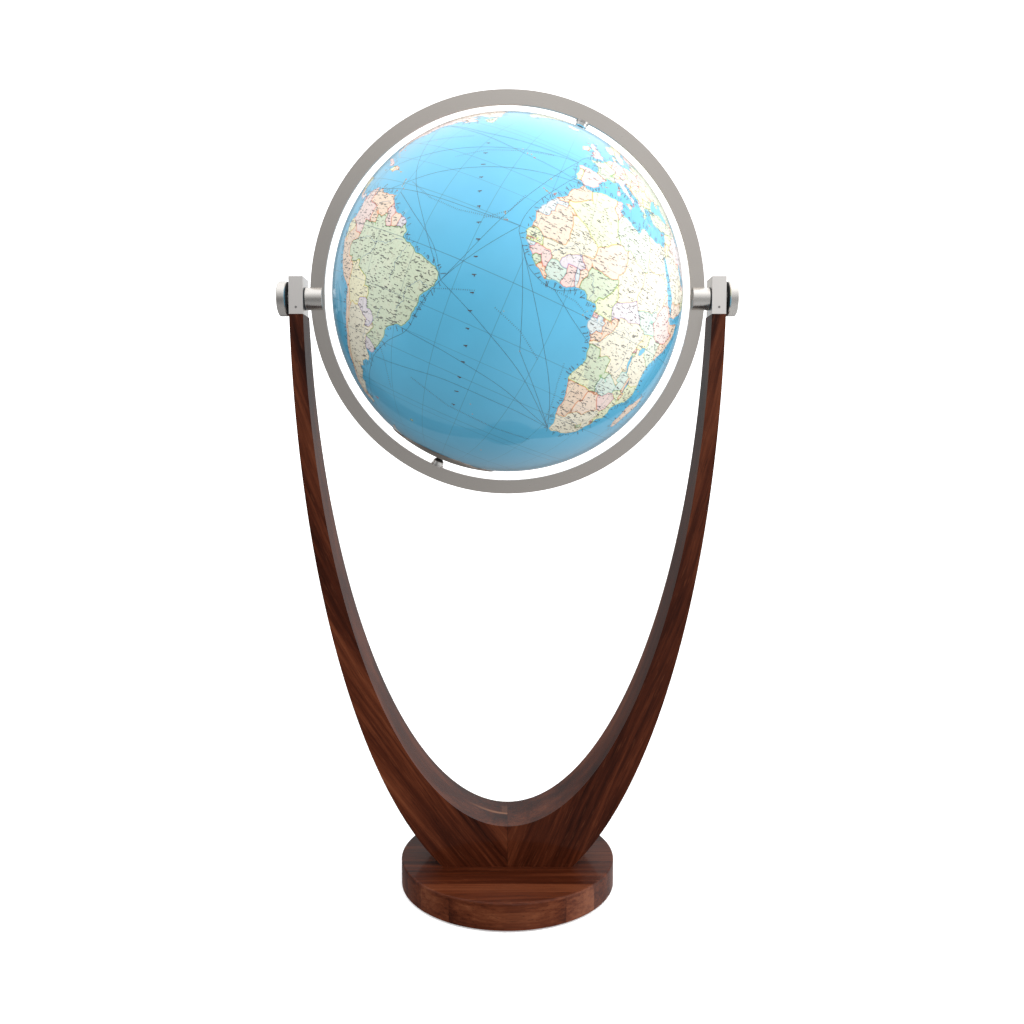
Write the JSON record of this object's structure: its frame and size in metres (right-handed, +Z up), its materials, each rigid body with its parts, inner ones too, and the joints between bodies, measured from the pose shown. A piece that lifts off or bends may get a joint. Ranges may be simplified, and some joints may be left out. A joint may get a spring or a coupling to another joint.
{
  "type": "globe",
  "caption": "Floor-standing map globe: the ball spins in a full steel ring, which tilts between two curved walnut arms on a round base.",
  "frame": {"origin": "centre of the base's underside, on the floor", "axes": "+Z up, +X to the right along the ring's tilt axis, +Y to the back; at rest the ring's top leans 6 degrees to the front"},
  "size_m": [0.528, 0.4, 0.9185],
  "materials": {
    "felt": "black needle felt",
    "walnut_base": "satin lacquered walnut, glued boards",
    "walnut_arms": "satin lacquered walnut",
    "ballast_steel": "black primer on steel plate",
    "fastener_steel": "zinc plated",
    "insert_brass": "machined",
    "dowel_beech": "plain beech",
    "ring_steel": "brushed along the ring",
    "turned_steel": "fine turned and brushed",
    "bright_steel": "polished",
    "black_plastic": "matt black acetal",
    "black_fibre": "matt black fibre",
    "map_ball": "printed map under a clear gloss coat",
    "ball_plastic": "white moulded plastic",
    "tube_aluminium": "drawn tube",
    "bearing_nylon": "natural nylon",
    "cap_steel": "spun and brushed"
  },
  "bodies": {
    "stand": {"base_felt": "felt", "base_plate": "walnut_base", "ballast_plate": "ballast_steel", "base_bolt_left_front": "fastener_steel", "base_bolt_left_back": "fastener_steel", "base_bolt_right_front": "fastener_steel", "base_bolt_right_back": "fastener_steel", "foot_insert_left_front": "insert_brass", "foot_insert_left_back": "insert_brass", "foot_insert_right_front": "insert_brass", "foot_insert_right_back": "insert_brass", "left_arm": "walnut_arms", "right_arm": "walnut_arms", "seam_dowel_front": "dowel_beech", "seam_dowel_back": "dowel_beech", "left_block_stud": "fastener_steel", "right_block_stud": "fastener_steel", "left_pivot_block": "turned_steel", "right_pivot_block": "turned_steel", "left_grub_screw": "fastener_steel", "right_grub_screw": "fastener_steel", "left_bush": "black_plastic", "right_bush": "black_plastic", "left_spacer_washer": "turned_steel", "right_spacer_washer": "turned_steel"},
    "meridian": {"meridian_ring": "ring_steel", "left_clevis": "turned_steel", "right_clevis": "turned_steel", "left_clevis_screw": "fastener_steel", "right_clevis_screw": "fastener_steel", "north_pin": "turned_steel", "south_pin": "turned_steel", "north_pin_washer": "turned_steel", "south_pin_washer": "turned_steel", "north_pin_nut": "bright_steel", "south_pin_nut": "bright_steel"},
    "left_clamp": {"left_friction_disc": "black_fibre"},
    "right_clamp": {"right_friction_disc": "black_fibre"},
    "left_knob": {"left_knob": "turned_steel"},
    "right_knob": {"right_knob": "turned_steel"},
    "globe": {"northern_hemisphere": "map_ball", "southern_hemisphere": "map_ball", "equator_band": "ball_plastic", "axis_tube": "tube_aluminium", "north_hub": "bearing_nylon", "south_hub": "bearing_nylon", "south_cap": "cap_steel"}
  },
  "joints": [
    {"name": "ring_tilt", "type": "hinge", "parent": "stand", "child": "meridian", "pos_m": [0, 0, 0.6915], "axis": [1, 0, 0], "continuous": true},
    {"name": "globe_spin", "type": "hinge", "parent": "meridian", "child": "globe", "pos_m": [0, 0, 0.6915], "axis": [0.3987, -0.0959, 0.912], "continuous": true},
    {"name": "left_clamp_slide", "type": "slide", "parent": "meridian", "child": "left_clamp", "axis": [-1, 0, 0], "range_m": [0, 0.0015]},
    {"name": "left_knob_turn", "type": "hinge", "parent": "left_clamp", "child": "left_knob", "pos_m": [-0.259, 0, 0.6915], "axis": [-1, 0, 0], "range_deg": [0, 360]},
    {"name": "right_clamp_slide", "type": "slide", "parent": "meridian", "child": "right_clamp", "axis": [1, 0, 0], "range_m": [0, 0.0015]},
    {"name": "right_knob_turn", "type": "hinge", "parent": "right_clamp", "child": "right_knob", "pos_m": [0.259, 0, 0.6915], "axis": [1, 0, 0], "range_deg": [0, 360]}
  ],
  "couplings": [
    {"joint": "left_knob_turn", "follows": "left_clamp_slide", "rad_per_m": 4188.8},
    {"joint": "right_knob_turn", "follows": "right_clamp_slide", "rad_per_m": 4188.8}
  ]
}
